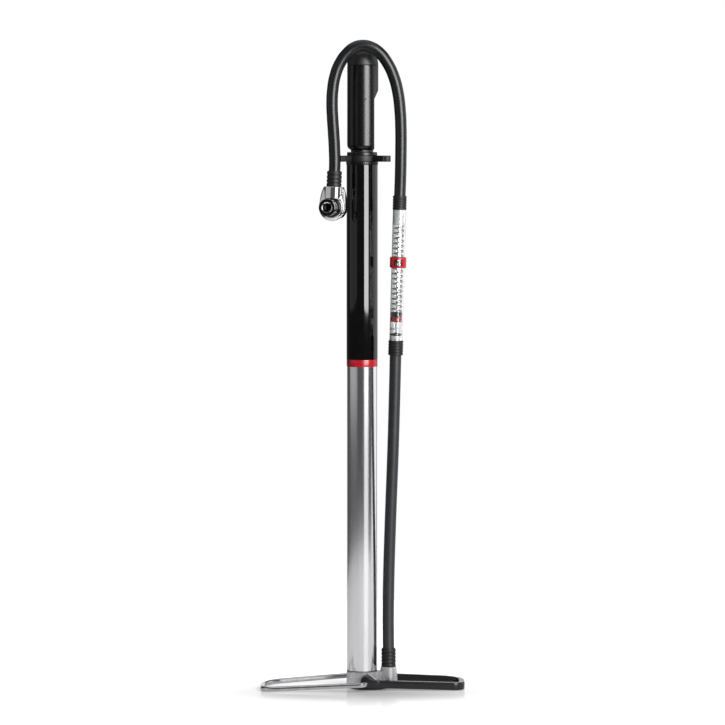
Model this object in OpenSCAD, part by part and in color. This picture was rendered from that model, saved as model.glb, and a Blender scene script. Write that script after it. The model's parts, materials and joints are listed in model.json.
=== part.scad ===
// Folding floor bike pump: barrel on a cast base with two fold-out feet, a handle that flips from
// in line to a T, and a hose with an in-line pressure gauge and a screw-down chuck.
// Frame: +Z up, origin on the barrel's axis at floor level, +X towards the hose, +Y to the rear.

/* [Barrel] */
// Outer diameter of the barrel tube
barrel_d = 30; // [29.6:0.1:30.2]
// Wall of the barrel tube
barrel_wall = 1.4; // [1.2:0.1:1.5]
// Height of the barrel tube's lower end
barrel_z0 = 17.8; // [17.6:0.1:18]
// Height of the barrel tube's upper end
barrel_z1 = 517; // [516:0.5:517]
// Height where the bare tube ends and the trim ring starts
trim_z0 = 319; // [280:1:340]
// Height of the trim ring
trim_h = 7; // [4:0.5:10]
// Thickness of the upper sleeve
sleeve_t = 0.4; // [0.3:0.1:0.6]

/* [Rod and piston] */
// Diameter of the piston rod
rod_d = 12; // [11:0.5:12]
// Wall of the piston rod
rod_wall = 1.2; // [1:0.1:1.5]
// Travel of the piston rod
stroke = 420; // [380:1:430]

/* [Handle] */
// Radius of the grip's round side
grip_r = 15.4; // [15:0.1:15.6]
// Height of the handle's pivot pin above the floor
handle_pin_z = 581.5; // [581:0.5:583]
// Distance of the pivot pin from the barrel's axis
handle_pin_x = 1.5; // [0:0.5:2]
// Lowest point of the grip
grip_z0 = 531.8; // [531.8:0.1:532.5]
// Height where the end cap starts
end_cap_z = 615; // [610:1:616]

/* [Feet] */
// Height of the feet's common hinge axis
hinge_z = 7; // [6.9:0.1:7.2]
// Distance of the hinge axis from the barrel's axis
hinge_x = 3; // [2:0.5:4]
// Diameter of the wire foot
wire_d = 5; // [4.8:0.1:5]
// Width of the moulded foot's bar
foot_w = 5.5; // [5:0.1:6]
// Height of the moulded foot's bar
foot_h = 7.5; // [7:0.1:7.6]

/* [Hose] */
// Outer diameter of the hose
hose_d = 11.4; // [10:0.2:11.4]
// Distance of the hose boss from the barrel's axis
boss_x = 26.2; // [25.5:0.1:27]
// Height of the hose boss
boss_z = 21.2; // [20.8:0.1:21.6]

/* [Gauge] */
// Outer radius of the clear tube
gauge_r = 6.5; // [6.3:0.1:6.6]
// Length of the clear tube
gauge_len = 128.5; // [120:0.5:128.5]
// Turns of the gauge spring
gauge_turns = 17; // [12:1:18]

/* [Hidden] */
$fn = 64;

// Gap between pieces that slide or turn against each other
run_gap = 0.05;
// Gap between moving pieces that don't guide each other
clear_gap = 0.4;
// Overlap that keeps a cut from ending on a face
eps = 0.5;

// Barrel and base
barrel_r = barrel_d / 2;
bore_r = barrel_r - barrel_wall;
pad_h = 2;
pad_r = 19.3;
pad_x = 6.5;
casting_r = 15.4;
casting_top = 17.2;
spigot_top = 22.8;
boss_r = [8.9, 7.9];
boss_z0 = 7;
web = [8, 12, 5];
duct_z = 13;
duct_r = 1.8;
barb_r = 3.4;
barb_z0 = duct_z - duct_r + 3;
pin_depth = 6.5;
pin_end_gap = 0.5;
lug_y0 = 9;
lug_y1 = 28.2;
lug_bore_y0 = 18;
lug_w = 12;
lug_top = 12.5;
lip_y = -15.6;
lip_w = 10.6;

// Screw through the pad
screw_x = 9;
screw_r = 1.4;
screw_head_r = 3;
screw_z0 = 0.4;
screw_z1 = 8;
key_r = 1.5;

// Check valve in the base
chamber_r = 4.2;
chamber_z = 11;
seat_r = 6;
seat_bore = 2;
seat_z = 19.8;
poppet_r = 3.4;
poppet_z0 = 18.2;
poppet_z1 = 19.6;
stem_r = 1.2;
stem_z0 = 13.5;

// Cap, collar and rod
rod_r = rod_d / 2;
flange_z0 = 517.4;
collar_z0 = 520.4;
collar_z1 = 526.5;
cap_z1 = 529.8;
cap_r = 14.9;
cap_neck_r = 13;
flange_r = 15.7;
piston_z = 34;
head_h = 8;
bumper_h = 4;
bumper_r = 11.5;
neck_bumper_r = 11;
key_reach = 10.4;
bush_z0 = piston_z + head_h + bumper_h + stroke + clear_gap;
bush_z1 = 526;
bush_r = 9;
wiper_r = rod_r + 1.9;
cap_plug_z0 = bush_z0 + 12;
notches = 36;
notch = [0.5, 0.8, 2.4];
tight = 0.02;

// Piston, held on a stud by a washer and a nut
stud_r = 3;
stud_z0 = 24.4;
cup_z0 = 28;
cup_depth = 4;
washer_z = [30.4, 31.9];
washer_r = 9.5;
nut_r = 5.6;
nut_h = 4;
head_groove = [1.6, 2.2];
plug_h = 12;

// Cradles for the hose
cradle_x = 26.8;
cradle_y = -22.5;
cradle_r = hose_d / 2 + 0.1;
cradle_t = 1.4;
cradle_arc = 125;
arm_w = 5.2;

// Handle
grip_x = 0.6;
strip_x = 13.7;
flat_x = 12;
grip_round = 5;
lip_r = 11.2;
lip_drop = 1.15;
slot_w = rod_d + 2 * clear_gap;
handle_pin_r = 2.5;
dome_h = 18.5;
strip_z = handle_pin_z + 0.7;
strip_slant = 21;
lug_r = 6;
rod_end_z = handle_pin_z - 12;
far = 60;

// Feet, in a frame whose origin is the hinge axis
wire_r = wire_d / 2;
wire_reach = 101;
wire_slope = asin((hinge_z - wire_r) / wire_reach);
wire_near = -31;
wire_far = 39.5;
wire_bend = 5;
knuckle_near = -casting_r - clear_gap - 0.1;
knuckle_far = lug_y1 + clear_gap;
foot_reach = 98.4;
foot_drop = 4.5;
foot_slope = asin((hinge_z - foot_drop) / foot_reach);
foot_groove = 0.8;
foot_groove_h = 1.4;

// Gauge frame: origin at the lower ferrule's lower end, +Z up along the gauge
gauge_at = [32.8, -14.4, 331];
gauge_turn = [2.4, 1.5, 0];
ferrule_h = 14.5;
tube_z0 = ferrule_h;
tube_z1 = tube_z0 + gauge_len;
gauge_bore = 5.8;
air_r = 1.1;
air_bore = 0.5;
ring_bore = 3;
lower_plug_h = 5;
o_ring_h = 2;
stop_z = tube_z0 + 10.4;
upper_plug_h = 15;
gauge_piston_z = 33;
gauge_piston_h = 5;
spring_z0 = 42.5;
spring_z1 = 127.5;
spring_r = 4.8;
spring_wire = 0.5;
marker_z = 86;
marker_h = 10.4;
marker_r = 8.1;
window = [5.6, 6];

// Chuck frame: origin at the ferrule's upper end, +Z up along the hose
chuck_at = [-26.9, -22.5, 511.5];
chuck_turn = [0, 2.3, 0];
chuck_ferrule_h = 15.2;
neck_r = 9.1;
neck_z0 = -24.6;
shoulder_r = 8.2;
shoulder_h = 3.6;
bulb_z = -35.5;
bulb_r = 13.3;
bulb_t = 13;
bulb_edge = 1.5;
nozzle_yaw = 14;
chuck_duct = 3;
mouth_bore = 4.9;
seat_face_r = 8.7;
thread_pitch = 2.2;
thread_r = [6.3, 6.9];
threads = 5;
sleeve_z1 = 23.6;
cap_z = [bulb_t / 2 + 4.6, 24];
cap_outer = 8.4;

// Hose centre lines, chosen by hand
lower_route = [
    [26.2, 0, 21.2], [26.2, 0, 34], [26, -0.2, 50], [25.9, -0.8, 70], [26.1, -1.7, 95],
    [26.7, -3, 125], [27.6, -4.7, 155], [28.6, -6.5, 185], [29.7, -8.4, 215], [30.7, -10.2, 245],
    [31.5, -11.8, 275], [32.2, -13.2, 303], [32.6, -14, 321]
];
upper_route = [
    [37.3, -21.4, 499], [37.7, -22, 515], [37.9, -22.3, 532], [37.9, -22.5, 551],
    [37.1, -22.5, 570], [34.9, -22.5, 588], [31, -22.5, 603], [25, -22.5, 616],
    [17, -22.5, 626.5], [8.5, -22.5, 632], [0.4, -22.5, 633.5], [-7.5, -22.5, 631.6],
    [-15.5, -22.5, 625], [-22, -22.5, 615.5], [-26.3, -22.5, 604], [-28.6, -22.5, 591],
    [-29.3, -22.5, 577], [-28.7, -22.5, 562], [-27.7, -22.5, 547], [-27, -22.5, 534]
];

// ---------- shared geometry ----------

function unit(v) = v / norm(v);

// Turns a point by rotate([a, b, 0])
function turned(p, r) = let (
    y = p[1] * cos(r[0]) - p[2] * sin(r[0]),
    z = p[1] * sin(r[0]) + p[2] * cos(r[0])
) [p[0] * cos(r[1]) + z * sin(r[1]), y, z * cos(r[1]) - p[0] * sin(r[1])];

function tangent(p, i) = unit(p[min(i + 1, len(p) - 1)] - p[max(i - 1, 0)]);

function ring_at(p, i, r, n, up) = let (
    t = tangent(p, i),
    a = unit(up - (up * t) * t),
    b = cross(t, a)
) [for (k = [0 : n - 1]) p[i] + r * (cos(360 * k / n) * a + sin(360 * k / n) * b)];

function arc(cx, cy, r, a0, a1, steps) =
    [for (s = [0 : steps]) let (a = a0 + (a1 - a0) * s / steps) [cx + r * cos(a), cy + r * sin(a)]];

function reversed(p) = [for (i = [len(p) - 1 : -1 : 0]) p[i]];

// A round tube of n sides along the points p, closed at both ends
module tube_along(p, r, n, up) {
    m = len(p);
    polyhedron(
        points = [for (i = [0 : m - 1]) each ring_at(p, i, r, n, up)],
        faces = concat(
            [[for (k = [0 : n - 1]) k]],
            [[for (k = [n - 1 : -1 : 0]) (m - 1) * n + k]],
            [for (i = [0 : m - 2], k = [0 : n - 1]) let (j = (k + 1) % n)
                each [[i * n + k, (i + 1) * n + k, (i + 1) * n + j],
                      [i * n + k, (i + 1) * n + j, i * n + j]]]
        )
    );
}

// A coil spring standing on z0, its wire's centre at radius r
module coil(z0, z1, r, wire, turns, per_turn) {
    steps = turns * per_turn;
    path = [for (s = [0 : steps]) let (a = 360 * s / per_turn)
        [r * cos(a), r * sin(a), z0 + wire + (z1 - z0 - 2 * wire) * s / steps]];
    tube_along(path, wire, 6, [0, 0, 1]);
}

module ring(r1, r0, z0, z1) {
    difference() {
        translate([0, 0, z0]) cylinder(r = r1, h = z1 - z0);
        translate([0, 0, z0 - eps]) cylinder(r = r0, h = z1 - z0 + 2 * eps);
    }
}

// A cylinder from y0 to y1, parallel to the Y axis
module rod_y(x, z, r, y0, y1) {
    translate([x, y1, z]) rotate([90, 0, 0]) cylinder(r = r, h = y1 - y0);
}

// A ribbed sleeve of length h round the hose, standing on z = 0
module ferrule(r, h, ribs) {
    pitch = h / ribs;
    groove = 0.5;
    rotate_extrude() polygon(concat(
        [[hose_d / 2 + 0.1, 0], [r - groove, 0]],
        [for (k = [0 : ribs - 1]) each [
            [r, (k + 0.15) * pitch], [r, (k + 0.7) * pitch],
            [r - groove, (k + 0.78) * pitch], [r - groove, (k + 1) * pitch]]],
        [[hose_d / 2 + 0.1, h]]
    ));
}

module in_gauge_frame() {
    translate(gauge_at) rotate(gauge_turn) children();
}

module in_chuck_frame() {
    translate(chuck_at) rotate(chuck_turn) children();
}

// Turns +Z onto the nozzle's axis, with the origin at the bulb's centre
module in_nozzle_frame() {
    in_chuck_frame() translate([0, 0, bulb_z]) rotate([0, 0, -nozzle_yaw]) rotate([90, 0, 0]) children();
}

// ---------- base and barrel ----------

// Side view of the guard lip over the near knuckle
module guard_lip() {
    lip = [[-2, 13.4], [-1.6, 15], [-0.4, 15.7], [1, 15], [2.6, 15.6], [4.4, 17], [6.6, 16.7],
           [14.4, 10], [22, 9.4], [22, 7.4], [13.8, 8], [6, 14.7], [4.6, 15], [2.6, 13.6], [1, 13.2]];
    translate([0, lip_y + lip_w, 0]) rotate([90, 0, 0]) linear_extrude(height = lip_w) polygon(lip);
}

module base_casting() {
    color("silver") difference() {
        union() {
            translate([0, 0, pad_h]) cylinder(r = casting_r, h = casting_top - pad_h);
            cylinder(r = bore_r - run_gap, h = spigot_top);
            translate([boss_x, 0, boss_z0]) cylinder(r1 = boss_r[0], r2 = boss_r[1], h = boss_z - boss_z0);
            translate([web[0], -web[1] / 2, web[2]]) cube([boss_x - web[0], web[1], casting_top - web[2]]);
            translate([hinge_x - lug_w / 2, lug_y0, pad_h]) cube([lug_w, lug_y1 - lug_y0, lug_top - pad_h]);
            guard_lip();
        }
        translate([0, 0, -eps]) cylinder(r = casting_r + eps, h = pad_h + eps);
        translate([0, 0, chamber_z]) cylinder(r = chamber_r, h = spigot_top);
        translate([0, 0, seat_z]) cylinder(r = seat_r, h = spigot_top);
        translate([0, 0, duct_z]) rotate([0, 90, 0]) cylinder(r = duct_r, h = boss_x);
        translate([boss_x, 0, duct_z - duct_r]) cylinder(r = barb_r, h = boss_z);
        rod_y(hinge_x, hinge_z, wire_r + run_gap, -casting_r - eps, -casting_r + pin_depth);
        rod_y(hinge_x, hinge_z, wire_r + run_gap, lug_bore_y0, lug_y1 + eps);
        translate([screw_x, 0, 0]) cylinder(r = screw_r + 0.1, h = screw_z1 + eps);
    }
}

module base_pad() {
    color([0.08, 0.08, 0.08]) translate([pad_x, 0, 0]) difference() {
        cylinder(r = pad_r, h = pad_h);
        translate([screw_x - pad_x, 0, -eps]) cylinder(r = screw_head_r + 0.2, h = pad_h + 2 * eps);
    }
}

module base_screw() {
    color("dimgray") translate([screw_x, 0, 0]) difference() {
        union() {
            translate([0, 0, screw_z0]) cylinder(r = screw_head_r, h = pad_h - screw_z0);
            translate([0, 0, screw_z0]) cylinder(r = screw_r, h = screw_z1 - screw_z0);
        }
        translate([0, 0, screw_z0 - eps]) cylinder(r = key_r, h = 1 + eps, $fn = 6);
    }
}

module barrel_gasket() {
    color([0.12, 0.12, 0.12]) ring(barrel_r - 0.1, bore_r, casting_top, barrel_z0);
}

module barrel_tube() {
    color([0.82, 0.82, 0.84]) ring(barrel_r, bore_r, barrel_z0, barrel_z1);
}

module barrel_sleeve() {
    color([0.05, 0.05, 0.05]) ring(barrel_r + sleeve_t, barrel_r, trim_z0 + trim_h, flange_z0);
}

module trim_ring() {
    color("crimson") ring(barrel_r + 0.25, barrel_r, trim_z0, trim_z0 + trim_h);
}

module top_cap() {
    color([0.1, 0.1, 0.1]) difference() {
        union() {
            translate([0, 0, cap_plug_z0]) cylinder(r = bore_r - run_gap, h = flange_z0 - cap_plug_z0);
            translate([0, 0, flange_z0]) cylinder(r = flange_r, h = collar_z0 - flange_z0);
            translate([0, 0, collar_z0]) cylinder(r = cap_neck_r, h = collar_z1 - collar_z0);
            translate([0, 0, collar_z1]) cylinder(r = cap_r, h = cap_z1 - collar_z1);
        }
        translate([0, 0, bush_z0]) cylinder(r = bush_r, h = bush_z1 - bush_z0);
        translate([0, 0, bush_z0]) cylinder(r = wiper_r, h = cap_z1);
        for (k = [0 : notches - 1]) rotate([0, 0, 360 * k / notches])
            translate([flange_r - notch[0], -notch[1] / 2, flange_z0 - eps]) cube([2, notch[1], notch[2] + eps]);
    }
}

// One hose cradle: an open hook on an arm, on the side given by s
module cradle(s) {
    inward = atan2(-cradle_y, -s * cradle_x);
    h = collar_z1 - collar_z0;
    reach = norm([cradle_x, cradle_y]) - cradle_r - cap_neck_r - 1;
    translate([s * cradle_x, cradle_y, collar_z0]) {
        rotate([0, 0, inward - cradle_arc / 2]) rotate_extrude(angle = cradle_arc)
            translate([cradle_r, 0]) square([cradle_t, h]);
        rotate([0, 0, inward]) translate([cradle_r + cradle_t / 2, -arm_w / 2, 0]) cube([reach, arm_w, h]);
    }
}

module clip_collar() {
    color([0.13, 0.13, 0.13]) difference() {
        union() {
            translate([0, 0, collar_z0]) cylinder(r = flange_r, h = collar_z1 - collar_z0);
            cradle(1);
            cradle(-1);
        }
        translate([0, 0, collar_z0 - eps]) cylinder(r = cap_neck_r + tight, h = 10);
    }
}

module rod_bush() {
    color("tan") ring(bush_r - tight, rod_r + run_gap, bush_z0, bush_z1);
}

module rod_wiper() {
    color([0.08, 0.08, 0.08]) ring(wiper_r, rod_r + 0.1, bush_z1, cap_z1 - clear_gap);
}

module valve_seat() {
    color("goldenrod") ring(seat_r, seat_bore, seat_z, spigot_top);
}

module valve_poppet() {
    color("dimgray") {
        translate([0, 0, poppet_z0]) cylinder(r = poppet_r, h = poppet_z1 - poppet_z0);
        translate([0, 0, stem_z0]) cylinder(r = stem_r, h = poppet_z1 - stem_z0);
    }
}

module valve_spring() {
    color("silver") coil(chamber_z + clear_gap, poppet_z0 - 0.2, 2 * stem_r, 0.3, 5, 16);
}

module base_barb() {
    color("goldenrod") translate([boss_x, 0, 0]) ring(barb_r, duct_r, barb_z0, boss_z);
}

// ---------- rod and piston ----------

module piston_rod() {
    color([0.75, 0.75, 0.78]) ring(rod_r, rod_r - rod_wall, piston_z + head_h, rod_end_z);
}

module rod_end_lug() {
    color([0.7, 0.7, 0.72]) difference() {
        union() {
            translate([0, 0, rod_end_z - plug_h]) cylinder(r = rod_r - rod_wall - tight, h = plug_h + eps);
            translate([0, 0, rod_end_z]) cylinder(r = rod_r, h = handle_pin_z - rod_end_z);
            rod_y(handle_pin_x, handle_pin_z, lug_r, -rod_r + eps, rod_r - eps);
        }
        rod_y(handle_pin_x, handle_pin_z, handle_pin_r + run_gap, -rod_r - eps, rod_r + eps);
    }
}

module piston_head() {
    color([0.2, 0.2, 0.22]) difference() {
        union() {
            translate([0, 0, piston_z]) cylinder(r = bore_r - 0.25, h = head_h);
            translate([0, 0, stud_z0]) cylinder(r = stud_r - 0.1, h = piston_z + 1 - stud_z0);
            translate([0, 0, piston_z + head_h]) cylinder(r = rod_r - rod_wall - tight, h = plug_h);
        }
        translate([0, 0, piston_z + 3]) ring(bore_r + 1, bore_r - head_groove[0], 0, head_groove[1]);
    }
}

module piston_cup() {
    color([0.1, 0.1, 0.1]) difference() {
        translate([0, 0, cup_z0]) cylinder(r = bore_r - 0.08, h = piston_z - cup_z0);
        translate([0, 0, cup_z0 - 1]) cylinder(r1 = bore_r - 1.2, r2 = bore_r - 2.4, h = cup_depth + 1);
        translate([0, 0, cup_z0]) cylinder(r = stud_r, h = head_h);
    }
}

module piston_washer() {
    color("silver") ring(washer_r, stud_r, washer_z[0], washer_z[1]);
}

module piston_nut() {
    color("silver") difference() {
        translate([0, 0, washer_z[0] - nut_h]) cylinder(r = nut_r, h = nut_h, $fn = 6);
        translate([0, 0, washer_z[0] - nut_h - eps]) cylinder(r = stud_r, h = nut_h + 2 * eps);
    }
}

module top_out_bumper() {
    z0 = piston_z + head_h;
    color([0.1, 0.1, 0.1]) ring(bumper_r, rod_r + tight, z0, z0 + bumper_h);
}

// A rubber ring on the rod, with a key that stands in the grip's slot
module neck_bumper() {
    z0 = cap_z1 + 0.1;
    key = slot_w / 2 - 0.2;
    color([0.1, 0.1, 0.1]) union() {
        ring(neck_bumper_r, rod_r + tight, z0, z0 + 0.6);
        difference() {
            translate([-key, -key, z0]) cube([key + key_reach, 2 * key, 2.2]);
            translate([0, 0, z0 - eps]) cylinder(r = rod_r + tight, h = 3);
        }
    }
}

// ---------- handle ----------

// A disc with a round rim, the lower edge of the grip
module round_disc(z, r, round) {
    translate([grip_x, 0, z]) rotate_extrude()
        translate([r - round, 0]) circle(r = round, $fn = 32);
}

module handle_grip() {
    top = end_cap_z - 0.1;
    color([0.1, 0.1, 0.11]) difference() {
        union() {
            hull() {
                round_disc(grip_z0 + grip_round, grip_r, grip_round);
                translate([grip_x, 0, top - 1]) cylinder(r = grip_r - 0.2, h = 1);
            }
            intersection() {
                translate([0, 0, grip_z0 - lip_drop]) cylinder(r = lip_r, h = 2 * lip_drop);
                translate([1 - far, -far / 2, grip_z0 - far / 2]) cube(far);
            }
        }
        translate([flat_x, -far / 2, handle_pin_z + 0.5 - 2 * far]) cube([far, far, 2 * far]);
        translate([strip_x, -far / 2, grip_z0]) cube([far, far, 2 * far]);
        translate([-slot_w / 2, -slot_w / 2, handle_pin_z - far]) cube([far, slot_w, far + slot_w / 2]);
        rod_y(handle_pin_x, handle_pin_z, handle_pin_r + tight, -2 * grip_r, 2 * grip_r);
    }
}

// Half profile of the end dome: a quarter ellipse
function dome(r, h, steps) =
    [for (s = [0 : steps]) let (a = 90 * s / steps) [r * cos(a), h * sin(a)]];

// The dome over the grip's end, with a strip that runs down the grip's flat side to the pin
module handle_end_cap() {
    cap_r = grip_r - 0.1;
    color([0.13, 0.13, 0.14]) {
        translate([grip_x, 0, end_cap_z]) rotate_extrude()
            polygon(concat([[0, 0]], dome(cap_r, dome_h, 16)));
        difference() {
            translate([grip_x, 0, strip_z]) cylinder(r = cap_r, h = end_cap_z - strip_z + eps);
            translate([strip_x + 0.05 - far, -far / 2, strip_z - 1]) cube([far, far, far]);
            translate([grip_r + grip_x, 0, strip_z]) rotate([0, strip_slant, 0])
                translate([0, -far / 2, -20]) cube([20, far, 27]);
            translate([strip_x - 1, -slot_w / 2, strip_z - 1]) cube([10, slot_w, rod_r + 2]);
        }
    }
}

module handle_pin() {
    color("silver") rod_y(handle_pin_x, handle_pin_z, handle_pin_r, -grip_r + eps, grip_r - eps);
}

// ---------- feet ----------

// Plan of the wire loop in the hinge frame, from the near bend to the far bend
wire_plan = concat(
    [[0, knuckle_near - 4]],
    arc(-wire_bend, wire_near + wire_bend, wire_bend, 0, -90, 6),
    [[-30, wire_near], [-60, wire_near]],
    arc(-wire_reach + 12, wire_near + 12, 12, -90, -180, 8),
    arc(-wire_reach + 26, -3, 26, 180, 100, 10),
    [[-45, wire_far - 8], [-20, wire_far - 1]],
    arc(-wire_bend, wire_far - wire_bend, wire_bend, 90, 0, 6),
    [[0, knuckle_far + 4]]
);

module wire_foot() {
    color([0.8, 0.8, 0.82]) translate([hinge_x, 0, hinge_z]) rotate([0, -wire_slope, 0]) {
        tube_along([for (p = wire_plan) [p[0], p[1], 0]], wire_r - 0.03, 12, [0, 0, 1]);
        rod_y(0, 0, wire_r, knuckle_near - 4.6, -casting_r + pin_depth - pin_end_gap);
        rod_y(0, 0, wire_r, lug_bore_y0 + pin_end_gap, knuckle_far + 4.6);
    }
}

// Plan of the moulded foot's outline in the hinge frame, moved inwards by d
function foot_path(d) = concat(
    [[2, knuckle_near - foot_w + d]],
    arc(foot_reach - 11.4, -10, 11.4 - d, -90, 0, 8),
    arc(foot_reach - 25.4, 4, 25.4 - d, 0, 76, 12),
    [[30, knuckle_far + foot_w - d]],
    [[2, knuckle_far + foot_w - d]]
);

// Side view of a knuckle: a ring round the pin with a stop lobe on top
module knuckle(y0) {
    lobe = [[-4.5, -1], [-4.6, 1], [-4, 4], [-2.4, 6], [0, 6.8], [3, 6.4], [6, 4.8], [9, 3.4], [14, 3],
            [14, -foot_drop], [2, -foot_drop], [-1.5, -4.3], [-3.6, -3]];
    translate([0, y0, 0]) rotate([90, 0, 0]) linear_extrude(height = foot_w) polygon(lobe);
}

module moulded_foot() {
    color([0.1, 0.1, 0.1]) translate([hinge_x, 0, hinge_z]) rotate([0, foot_slope, 0]) difference() {
        union() {
            translate([0, 0, -foot_drop]) linear_extrude(height = foot_h)
                polygon(concat(foot_path(0), reversed(foot_path(foot_w))));
            knuckle(knuckle_near);
            knuckle(knuckle_far + foot_w);
        }
        for (z = [-2.9, -0.4]) translate([0, 0, z]) linear_extrude(height = foot_groove_h) difference() {
            polygon(concat(foot_path(foot_w - foot_groove), reversed(foot_path(foot_w + 1))));
            translate([0, -far]) square([20, 2 * far]);
        }
        rod_y(0, 0, wire_r + 0.1, -far, far);
    }
}

// ---------- hose ----------

module hose_lower() {
    route = concat(lower_route, [for (z = [0, tube_z0]) gauge_at + turned([0, 0, z], gauge_turn)]);
    color([0.12, 0.12, 0.13]) tube_along(route, hose_d / 2, 12, [0, 1, 0]);
}

module hose_upper() {
    up_end = tube_z1 + ferrule_h - 1;
    route = concat(
        [for (z = [tube_z1, up_end]) gauge_at + turned([0, 0, z], gauge_turn)],
        upper_route,
        [for (z = [6, 0, -chuck_ferrule_h]) chuck_at + turned([0, 0, z], chuck_turn)]
    );
    color([0.12, 0.12, 0.13]) tube_along(route, hose_d / 2, 12, [0, 1, 0]);
}

module base_ferrule() {
    color([0.09, 0.09, 0.09]) translate([boss_x, 0, boss_z]) ferrule(7.2, 18, 5);
}

module gauge_lower_ferrule() {
    color([0.09, 0.09, 0.09]) in_gauge_frame() ferrule(7.3, ferrule_h, 4);
}

module gauge_upper_ferrule() {
    color([0.09, 0.09, 0.09]) in_gauge_frame() translate([0, 0, tube_z1]) ferrule(6.8, ferrule_h - 1, 4);
}

module chuck_ferrule() {
    color([0.09, 0.09, 0.09]) in_chuck_frame()
        translate([0, 0, -chuck_ferrule_h]) ferrule(7.3, chuck_ferrule_h, 4);
}

// ---------- gauge ----------

module gauge_tube() {
    color([0.85, 0.9, 0.92, 0.4]) in_gauge_frame() ring(gauge_r, gauge_bore, tube_z0, tube_z1);
}

module gauge_lower_plug() {
    color([0.8, 0.8, 0.82]) in_gauge_frame() ring(gauge_bore, air_r + tight, tube_z0, tube_z0 + lower_plug_h);
}

module gauge_upper_plug() {
    color([0.8, 0.8, 0.82]) in_gauge_frame() ring(gauge_bore, air_r + tight, tube_z1 - upper_plug_h, tube_z1);
}

module gauge_o_ring() {
    z0 = tube_z0 + lower_plug_h;
    color([0.08, 0.08, 0.08]) in_gauge_frame() ring(gauge_bore, ring_bore, z0, z0 + o_ring_h);
}

module gauge_stop_ring() {
    color("gainsboro") in_gauge_frame() ring(gauge_bore, ring_bore, stop_z, stop_z + 2);
}

module gauge_piston() {
    color("crimson") in_gauge_frame()
        ring(gauge_bore - run_gap, air_r + 0.1, gauge_piston_z, gauge_piston_z + gauge_piston_h);
}

module gauge_piston_seal() {
    color([0.15, 0.15, 0.15]) in_gauge_frame()
        ring(gauge_bore - 0.3, air_r + 0.1, gauge_piston_z + gauge_piston_h, spring_z0);
}

module gauge_spring() {
    color([0.45, 0.45, 0.47]) in_gauge_frame()
        coil(spring_z0 + 0.1, spring_z1, spring_r, spring_wire, gauge_turns, 14);
}

module gauge_air_tube() {
    color([0.3, 0.3, 0.32]) in_gauge_frame() ring(air_r, air_bore, tube_z0, tube_z1);
}

module gauge_marker() {
    color("crimson") in_gauge_frame() difference() {
        ring(marker_r, gauge_r + 0.08, marker_z, marker_z + marker_h);
        translate([-window[0] / 2, -20, marker_z + (marker_h - window[1]) / 2])
            cube([window[0], 20, window[1]]);
    }
}

// ---------- chuck ----------

// A disc of thickness t, centred on the origin
module disc(r, t) {
    cylinder(r = r, h = t, center = true, $fn = 48);
}

module chuck_body() {
    color([0.85, 0.85, 0.87]) difference() {
        union() {
            in_chuck_frame() translate([0, 0, neck_z0])
                cylinder(r = neck_r, h = -chuck_ferrule_h - neck_z0);
            hull() {
                in_nozzle_frame() disc(bulb_r - bulb_edge, bulb_t);
                in_nozzle_frame() disc(bulb_r, bulb_t - 2 * bulb_edge);
                in_chuck_frame() translate([0, 0, -20]) cylinder(r = shoulder_r, h = shoulder_h, $fn = 32);
            }
        }
        in_chuck_frame() translate([0, 0, -30]) cylinder(r = chuck_duct, h = 30);
        in_nozzle_frame() translate([0, 0, -3]) cylinder(r = mouth_bore, h = 20);
        in_nozzle_frame() translate([0, 0, bulb_t / 2]) cylinder(r = seat_face_r, h = 10);
    }
}

module chuck_barb() {
    color("goldenrod") in_chuck_frame() ring(chuck_duct, 1.6, -24, -chuck_ferrule_h);
}

module chuck_nozzle() {
    z0 = bulb_t / 2;
    bore = 5.25;
    flank = [0, 0.8, 1.2, 2];
    color([0.12, 0.12, 0.12]) in_nozzle_frame() rotate_extrude() polygon(concat(
        [[bore, z0]],
        [for (k = [0 : threads - 1], i = [0 : 3])
            [thread_r[i % 3 == 0 ? 0 : 1], z0 + k * thread_pitch + flank[i]]],
        [[bore, z0 + (threads - 1) * thread_pitch + flank[3]]]
    ));
}

module chuck_lock_ring() {
    z0 = bulb_t / 2;
    color([0.85, 0.85, 0.87]) in_nozzle_frame() ring(8.6, 6.95, z0, z0 + 2.4);
}

module thrust_sleeve() {
    color([0.85, 0.85, 0.87]) in_nozzle_frame() ring(5.15, 4.2, bulb_t / 2 + 2.5, sleeve_z1);
}

module chuck_gland() {
    color([0.1, 0.1, 0.1]) in_nozzle_frame() ring(4.85, 3.7, 1, bulb_t / 2 + 1.4);
}

module chuck_cap() {
    grips = 18;
    z0 = cap_z[0];
    z1 = cap_z[1];
    color([0.1, 0.1, 0.1]) in_nozzle_frame() difference() {
        rotate_extrude() polygon([
            [7.05, z0], [cap_outer - 0.4, z0], [cap_outer, z0 + 1], [cap_outer, z1 - 0.8],
            [cap_outer - 0.5, z1], [5.8, z1], [5.3, z1 - 0.5], [5.3, z1 - 5.4], [7.05, z1 - 5.8]
        ]);
        for (k = [0 : grips - 1]) rotate([0, 0, 360 * k / grips])
            translate([cap_outer - 0.3, -0.4, z0 + 1.6]) cube([1, 0.8, 8]);
    }
}

// ---------- nodes ----------

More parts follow.
